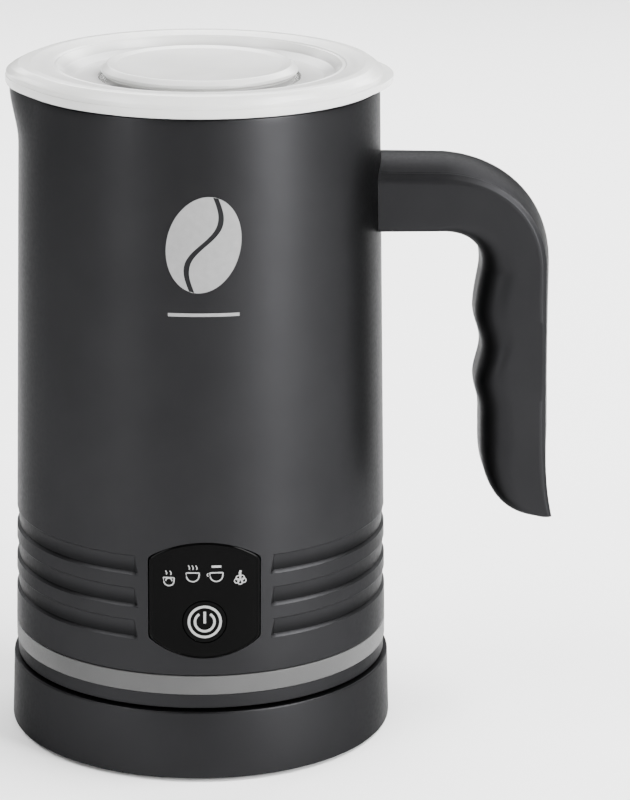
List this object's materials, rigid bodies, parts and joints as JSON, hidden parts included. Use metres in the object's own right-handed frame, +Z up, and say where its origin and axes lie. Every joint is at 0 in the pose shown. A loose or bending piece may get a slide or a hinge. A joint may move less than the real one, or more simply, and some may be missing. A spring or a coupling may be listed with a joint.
{
  "type": "milk frother",
  "caption": "Electric milk frother with a round power base, lift-off insulated jug with C-shaped grip, control panel, frosted press-on lid and magnetic whisk.",
  "frame": {"origin": "on the table under the middle of the whole part, handle included; the jug's own axis is 22.3 mm from it towards -X", "axes": "+Z up, -Y towards the user and the control panel, +X towards the handle"},
  "size_m": [0.1526, 0.108, 0.19],
  "materials": {
    "base_plastic": "moulded black ABS, fine satin",
    "inner_plastic": "moulded black nylon",
    "body_paint": "satin charcoal soft-touch paint",
    "panel_gloss": "polished black acrylic",
    "silver_trim": "satin silver-grey",
    "frosted_lid": "frosted translucent Tritan or polypropylene",
    "seal_silicone": "translucent white silicone",
    "foot_rubber": "matt black rubber",
    "stainless_steel": "drawn stainless steel",
    "heater_aluminium": "rolled plate",
    "contact_brass": "stamped brass",
    "white_plastic": "glass-filled white nylon",
    "circuit_board": "green solder mask",
    "magnet_ferrite": "sintered ferrite",
    "lamp_lens": "clear white LED body"
  },
  "bodies": {
    "power_base": {"base_cover": "base_plastic", "base_plate": "base_plastic", "base_foot_1": "foot_rubber", "base_foot_2": "foot_rubber", "base_foot_3": "foot_rubber", "base_foot_4": "foot_rubber", "base_screw_1": "stainless_steel", "base_screw_2": "stainless_steel", "base_screw_3": "stainless_steel", "base_socket": "inner_plastic", "socket_contact_outer": "contact_brass", "socket_contact_inner": "contact_brass", "socket_contact_centre": "contact_brass", "cord_gland": "foot_rubber", "cord_clamp": "inner_plastic"},
    "jug_plug": {"plug_housing": "inner_plastic", "plug_ring_outer": "contact_brass", "plug_ring_inner": "contact_brass", "plug_pin_centre": "contact_brass"},
    "jug": {"jug_floor": "base_plastic", "silver_band": "silver_trim", "jug_shell": "body_paint", "inner_vessel": "stainless_steel", "whisk_spindle": "stainless_steel", "heater_ring": "stainless_steel", "heater_plate": "heater_aluminium", "temperature_sensor": "stainless_steel", "thermal_cutout": "white_plastic", "motor_can": "stainless_steel", "motor_bracket": "white_plastic", "main_board": "circuit_board", "panel_board": "circuit_board", "panel_lamp_1": "lamp_lens", "panel_lamp_2": "lamp_lens", "panel_lamp_3": "lamp_lens", "panel_lamp_4": "lamp_lens", "button_switch": "inner_plastic", "control_panel": "panel_gloss", "handle_body": "body_paint", "handle_cover": "body_paint", "handle_screw_1": "stainless_steel", "handle_screw_2": "stainless_steel", "floor_screw_1": "stainless_steel", "floor_screw_2": "stainless_steel", "floor_screw_3": "stainless_steel"},
    "power_button": {"power_button": "panel_gloss"},
    "rotor": {"motor_shaft": "stainless_steel", "magnet_carrier": "white_plastic", "drive_magnet_1": "magnet_ferrite", "drive_magnet_2": "magnet_ferrite"},
    "whisk": {"whisk_hub": "inner_plastic", "whisk_frame": "stainless_steel", "whisk_magnet_1": "magnet_ferrite", "whisk_magnet_2": "magnet_ferrite", "froth_coil": "stainless_steel"},
    "lid": {"lid_cover": "frosted_lid", "lid_seal": "seal_silicone"}
  },
  "joints": [
    {"name": "jug_lift", "type": "slide", "parent": "power_base", "child": "jug_plug", "axis": [0, 0, 1], "range_m": [0, 0.04]},
    {"name": "jug_turn", "type": "hinge", "parent": "jug_plug", "child": "jug", "pos_m": [-0.0223, 0, 0.03], "axis": [0, 0, 1], "continuous": true},
    {"name": "lid_lift", "type": "slide", "parent": "jug", "child": "lid", "axis": [0, 0, 1], "range_m": [0, 0.06]},
    {"name": "button_press", "type": "slide", "parent": "jug", "child": "power_button", "axis": [0, 1, 0], "range_m": [0, 0.0008], "stiffness_N_per_m": 800},
    {"name": "rotor_spin", "type": "hinge", "parent": "jug", "child": "rotor", "pos_m": [-0.0223, 0, 0.06], "axis": [0, 0, 1], "continuous": true},
    {"name": "whisk_lift", "type": "slide", "parent": "rotor", "child": "whisk", "axis": [0, 0, 1], "range_m": [0, 0.08]}
  ]
}
